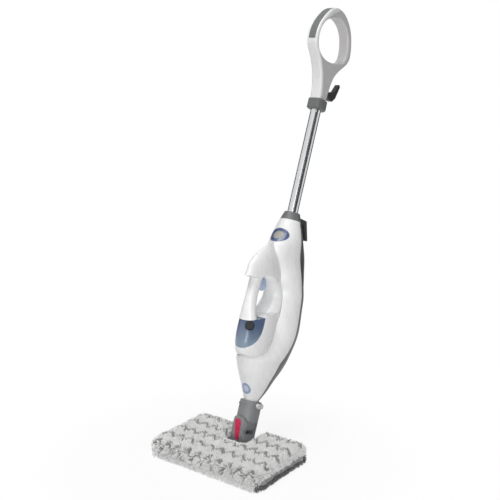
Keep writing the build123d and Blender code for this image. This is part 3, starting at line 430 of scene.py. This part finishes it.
# one pad layer: the CAD solid merged, remeshed in voxels, then moved: sides drawn in between the
# corners, soft lumps along the normals, and the underside lifted to leave room for flattened pile
def padLayer(name, node):
    copy = bpy.data.objects.new(name, nodes[node].data.copy())
    bpy.context.scene.collection.objects.link(copy)
    weld = copy.modifiers.new("weld", "WELD")
    weld.merge_threshold = 0.00002
    voxels = copy.modifiers.new("voxels", "REMESH")
    voxels.mode = "VOXEL"
    voxels.voxel_size = fleece["voxel"]
    soften = copy.modifiers.new("soften", "SMOOTH")
    soften.factor = 0.5
    soften.iterations = 6
    bpy.context.view_layer.update()
    settled = bpy.data.meshes.new_from_object(copy.evaluated_get(bpy.context.evaluated_depsgraph_get()))
    copy.modifiers.clear()
    copy.data = settled
    points, normals = arraysOf(settled)[:2]
    reach = np.abs(points[:, :2]) / np.abs(points[:, :2]).max(0)
    drawn = fleece["pull"] * reach ** 6 * (1.0 - reach[:, ::-1] ** 2)
    points[:, :2] -= np.sign(points[:, :2]) * drawn
    points += normals * (swirl(points, 260.0, 3) * fleece["lump"])[:, None]
    points[:, 2] = np.maximum(points[:, 2], fleece["lift"])
    settled.vertices.foreach_set("co", points.astype(np.float32).ravel())
    settled.polygons.foreach_set("use_smooth", np.ones(len(settled.polygons), bool))
    settled.materials.clear()
    settled.materials.append(clothSkin)
    settled.update()
    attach(copy, "head")
    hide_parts(node)
    return copy


padPieces = [padLayer("padUnderLayer", "pad_lower_layer"), padLayer("padTopLayer", "pad_upper_layer")]
print("steam mop: pad layers", [len(p.data.polygons) for p in padPieces])


# points spread over a surface: random by area, then one kept in each cell a pitch wide
def spreadRoots(mesh, pitch, seed, keep):
    random = np.random.default_rng(seed)
    points, normals, corners = arraysOf(mesh)
    a, b, c = (points[corners[:, i]] for i in range(3))
    area = np.linalg.norm(np.cross(b - a, c - a), axis=1) / 2.0
    count = int(area.sum() / pitch ** 2 * 5)
    pick = random.choice(len(area), count, p=area / area.sum())
    r, s = np.sqrt(random.random(count)), random.random(count)
    share = np.stack([1 - r, r * (1 - s), r * s], 1)[:, :, None]
    roots = (points[corners[pick]] * share).sum(1)
    ways = (normals[corners[pick]] * share).sum(1)
    ways /= np.linalg.norm(ways, axis=1, keepdims=True)
    chosen = keep(roots, ways)
    roots, ways = roots[chosen], ways[chosen]
    first = np.unique(np.floor(roots / pitch).astype(int), axis=0, return_index=True)[1]
    return roots[first], ways[first]


# strands: centre = root + length * (t * normal + bend(t) * lean); three sides, whose radius swells
# and closes at the tip; short beside the slot, and shorter in the path of the fork as the head flips
strand = {
    "pitch": 0.0023, "length": (0.0075, 0.011), "width": (0.001, 0.0014), "lean": 0.42, "droop": 0.9,
    "endReach": 0.1755, "endShare": 0.7,
    "along": (0.0, 0.4, 0.78, 1.0), "swell": (0.75, 1.0, 0.72),
    "slotHalf": 0.046, "slotFront": 0.012, "slotLength": 0.0045,
    "forkHalf": 0.036, "forkFront": 0.0, "forkLength": 0.0018,
    "clumpScale": 330.0, "clumpLean": 1.1, "strayLean": 0.55,
    "floorRise": 0.22, "floorLean": 1.2, "floorGap": 0.0002,
}


def growPile(name, roots, ways, skin, seed, floorRow=False):
    random = np.random.default_rng(seed)
    count = len(roots)
    t = np.array(strand["along"])
    length = random.uniform(*strand["length"], count) * (1.0 + 0.3 * np.abs(ways[:, 1]) ** 2)
    length *= 1.0 - (1.0 - strand["endShare"]) * np.abs(ways[:, 0]) ** 2
    nearSlot = (np.abs(roots[:, 0]) < strand["slotHalf"]) & (roots[:, 1] > strand["slotFront"])
    length = np.where(nearSlot, strand["slotLength"], length)
    forkPath = (np.abs(roots[:, 0]) < strand["forkHalf"]) & (roots[:, 1] > strand["forkFront"])
    length = np.where(forkPath, strand["forkLength"], length)
    clump = np.stack([swirl(roots, strand["clumpScale"], part) for part in (11, 12, 13)], 1)
    lean = clump * strand["clumpLean"] + random.normal(0, strand["strayLean"], (count, 3))
    lean[:, 2] -= strand["droop"] * (1.0 - np.abs(ways[:, 2]))
    lean -= (lean * ways).sum(1)[:, None] * ways
    rise = strand["floorRise"] if floorRow else 1.0
    if floorRow:
        lean *= strand["floorLean"] / np.maximum(np.linalg.norm(lean, axis=1, keepdims=True), 1e-6)
    bend = 0.35 * t + 0.65 * t ** 2
    upward = (t * rise)[None, :, None] * ways[:, None]
    sideward = strand["lean"] * bend[None, :, None] * lean[:, None]
    centre = roots[:, None] + length[:, None, None] * (upward + sideward)
    axis = centre[:, 3] - centre[:, 0]
    axis /= np.linalg.norm(axis, axis=1, keepdims=True)
    sideA = np.cross(axis, random.normal(size=(count, 3)))
    sideA /= np.linalg.norm(sideA, axis=1, keepdims=True)
    sideB = np.cross(axis, sideA)
    turn = np.arange(3) * 2 * pi / 3
    round3 = np.cos(turn)[None, :, None] * sideA[:, None] + np.sin(turn)[None, :, None] * sideB[:, None]
    width = random.uniform(*strand["width"], count)[:, None] * np.array(strand["swell"])
    rings = centre[:, :3, None] + width[:, :, None, None] * round3[:, None]
    points = np.concatenate([rings.reshape(count, 9, 3), centre[:, 3:]], 1)
    points[:, :, 0] = np.clip(points[:, :, 0], -strand["endReach"], strand["endReach"])
    points[:, :, 2] = np.maximum(points[:, :, 2], strand["floorGap"])
    quads = [(r + s, r + (s + 1) % 3, r + 3 + (s + 1) % 3, r + 3 + s) for r in (0, 3) for s in range(3)]
    tips = [(6 + s, 6 + (s + 1) % 3, 9) for s in range(3)] + [(2, 1, 0)]
    one = np.array([v for f in quads + tips for v in f])
    faces = (one[None] + 10 * np.arange(count)[:, None]).ravel()
    sides = np.tile([4] * 6 + [3] * 4, count)
    u = random.random(count)[:, None] * 0.96 + np.append(np.tile([0.0, 0.012, 0.024], 3), 0.012)[None]
    v = np.append(np.repeat(t[:3], 3), 1.0)[None] * 0.98 + 0.01 + np.zeros((count, 1))
    piece = toMesh(name, points.reshape(-1, 3), faces, sides, np.stack([u.ravel(), v.ravel()], 1))
    piece.data.materials.append(skin)
    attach(piece, "head")
    return piece


# outer sides only: faces that look into the pocket get no pile
def outerTop(roots, ways):
    return (ways[:, 2] > -0.2) | ((np.abs(ways[:, 2]) < 0.75) & (roots[:, 2] > 0.02))


def outerUnder(roots, ways):
    return (np.abs(ways[:, 2]) < 0.6) & (roots[:, 2] > 0.004)


def floorSide(roots, ways):
    return ways[:, 2] < -0.6


topRoots, topWays = spreadRoots(padPieces[1].data, strand["pitch"], 21, outerTop)
sideRoots, sideWays = spreadRoots(padPieces[0].data, strand["pitch"], 22, outerUnder)
lowRoots, lowWays = spreadRoots(padPieces[0].data, strand["pitch"] * 1.35, 23, floorSide)
ragged = np.random.default_rng(31).normal(0, fleece["ragged"], len(topRoots))
rowWidth = fleece["band"] * np.clip(topWays[:, 2], 0.6, 1.0)
inRow = (zigzagGap(topRoots) + ragged < rowWidth) & (np.abs(topWays[:, 0]) < 0.6)
leftHalf = topRoots[:, 0] < 0.0
growPile("pileTopLeft", topRoots[~inRow & leftHalf], topWays[~inRow & leftHalf], whiteYarn, 41)
growPile("pileTopRight", topRoots[~inRow & ~leftHalf], topWays[~inRow & ~leftHalf], whiteYarn, 47)
growPile("pileTopGrey", topRoots[inRow], topWays[inRow], greyYarn, 42)
# the end of the lower layer gets the dark yarn: painted shade
endSide = sideWays[:, 0] > 0.35
growPile("pileUnderEdge", sideRoots[~endSide], sideWays[~endSide], whiteYarn, 43)
growPile("pileUnderEnd", sideRoots[endSide], sideWays[endSide], endShadeYarn, 46)
lowRow = zigzagGap(lowRoots) < fleece["band"]
growPile("pileFloorWhite", lowRoots[~lowRow], lowWays[~lowRow], whiteYarn, 44, True)
growPile("pileFloorGrey", lowRoots[lowRow], lowWays[lowRow], greyYarn, 45, True)
print("steam mop: strands", len(topRoots), len(sideRoots), len(lowRoots))

# plain pale floor that shows white to the camera and keeps a soft shadow
floor = {"half": 12.0, "drop": -0.0004, "albedo": 0.82, "shadow": 0.1, "fade": (0.2, 0.55)}


def seenStraight(wire):
    path = wire.node("ShaderNodeLightPath").socket.node
    rays = ("Is Camera Ray", "Is Glossy Ray", "Is Transmission Ray")
    straight, glossy, passing = (Wire(wire.tree, path.outputs[ray]) for ray in rays)
    return wire.maths("MINIMUM", straight + glossy + passing, 1.0)


def floorFinish(wire):
    lit = wire.node("ShaderNodeBsdfDiffuse", {}, {"Color": (floor["albedo"],) * 3 + (1.0,)})
    glow = wire.node("ShaderNodeEmission", {}, {"Color": (1.0, 1.0, 1.0, 1.0), "Strength": 1.0})
    away = wire.node("ShaderNodeVectorMath", {"operation": "LENGTH"}, {0: objectPlace(wire)}, 1)
    near = 1 - away.between(*floor["fade"])
    share = seenStraight(wire) * (1 - near * floor["shadow"])
    return wire.node("ShaderNodeMixShader", {}, {0: share, 1: lit, 2: glow})


h, z = floor["half"], floor["drop"]
sheet = np.array([(-h, -h, z), (h, -h, z), (h, h, z), (-h, h, z)])
ground = toMesh("floorSheet", sheet, np.arange(4), np.array([4]))
ground.data.materials.append(newFinish("floorPale", floorFinish))

# world: white where it is seen, and a soft fill that falls off to the right
sky = {"left": 0.22, "right": 0.1, "toRight": (0.8, 0.6, 0.0)}
world = bpy.data.worlds.new("studio")
bpy.context.scene.world = world
world.use_nodes = True
world.node_tree.nodes.clear()
wire = Wire(world.node_tree)
way = wire.node("ShaderNodeTexCoord")
side = wire.node("ShaderNodeVectorMath", {"operation": "DOT_PRODUCT"}, {0: way, 1: sky["toRight"]}, 1)
fill = side.between(-0.8, 0.8) * (sky["right"] - sky["left"]) + sky["left"]
seen = seenStraight(wire)
strength = seen + (1 - seen) * fill
glow = wire.node("ShaderNodeBackground", {}, {"Color": (1.0, 1.0, 1.0, 1.0), "Strength": strength})
wire.node("ShaderNodeOutputWorld", {}, {"Surface": glow})

# the photograph's view: azimuth from the front towards +X, target and distance in metres
view = {
    "azimuth": radians(36.883), "elevation": radians(12.1611), "distance": 2.0212,
    "target": Vector((0.0, 0.0883, 0.5104)), "lens": 60.0,
}


# a point at an azimuth, elevation and distance from a target
def around(azimuth, elevation, distance, target=view["target"]):
    level = cos(elevation)
    return target + distance * Vector((level * sin(azimuth), -level * cos(azimuth), sin(elevation)))


def aimed(made, place, target=view["target"]):
    made.location = place
    made.rotation_euler = (target - place).to_track_quat("-Z", "Y").to_euler()
    bpy.context.scene.collection.objects.link(made)
    return made


lens = bpy.data.cameras.new("camera")
lens.lens = view["lens"]
lens.sensor_width = 36.0
stand = around(view["azimuth"], view["elevation"], view["distance"])
camera = aimed(bpy.data.objects.new("camera", lens), stand)
bpy.context.scene.camera = camera
bpy.context.scene.view_settings.view_transform = "Standard"

# soft boxes: azimuth, elevation, distance, size, spread, power and the point each one faces
lamps = {
    "keyBox": (radians(36.0), radians(10.0), 4.5, 2.8, radians(180.0), 113.0, view["target"]),
    "topBox": (radians(0.0), radians(80.0), 5.0, 3.0, radians(180.0), 136.0, view["target"]),
    "padBox": (radians(-20.0), radians(74.0), 1.3, 0.7, radians(50.0), 0.4, Vector((0.0, -0.05, 0.03))),
}
for name, (azimuth, elevation, distance, size, spread, power, facing) in lamps.items():
    box = bpy.data.lights.new(name, "AREA")
    box.size = size
    box.spread = spread
    box.energy = power
    aimed(bpy.data.objects.new(name, box), around(azimuth, elevation, distance, facing), facing)

# cards that only polished surfaces show: azimuth, distance, half width, half height and tone
cards = {
    "darkCard": (radians(58.0), 1.9, 0.66, 1.6, 0.02),
    "dimCard": (radians(93.0), 1.9, 0.56, 1.6, 0.09),
    "backCard": (radians(168.0), 1.9, 0.7, 1.6, 0.03),
    "sideCard": (radians(-100.0), 1.9, 0.6, 1.6, 0.2),
}
for name, (azimuth, distance, half, high, tone) in cards.items():
    middle = np.array(around(azimuth, radians(8.0), distance))
    across = np.array([cos(azimuth), sin(azimuth), 0.0]) * half
    tall = np.array([0.0, 0.0, high])
    low, top = middle - tall, middle + tall
    corners = np.stack([low - across, low + across, top + across, top - across])
    flag = toMesh(name, corners, np.arange(4), np.array([4]))
    dull = {"Color": (tone, tone, tone, 1.0)}
    flag.data.materials.append(newFinish(name, lambda wire: wire.node("ShaderNodeBsdfDiffuse", {}, dull)))
    flag.visible_camera = False
    flag.visible_diffuse = False
    flag.visible_shadow = False
    flag.visible_transmission = False
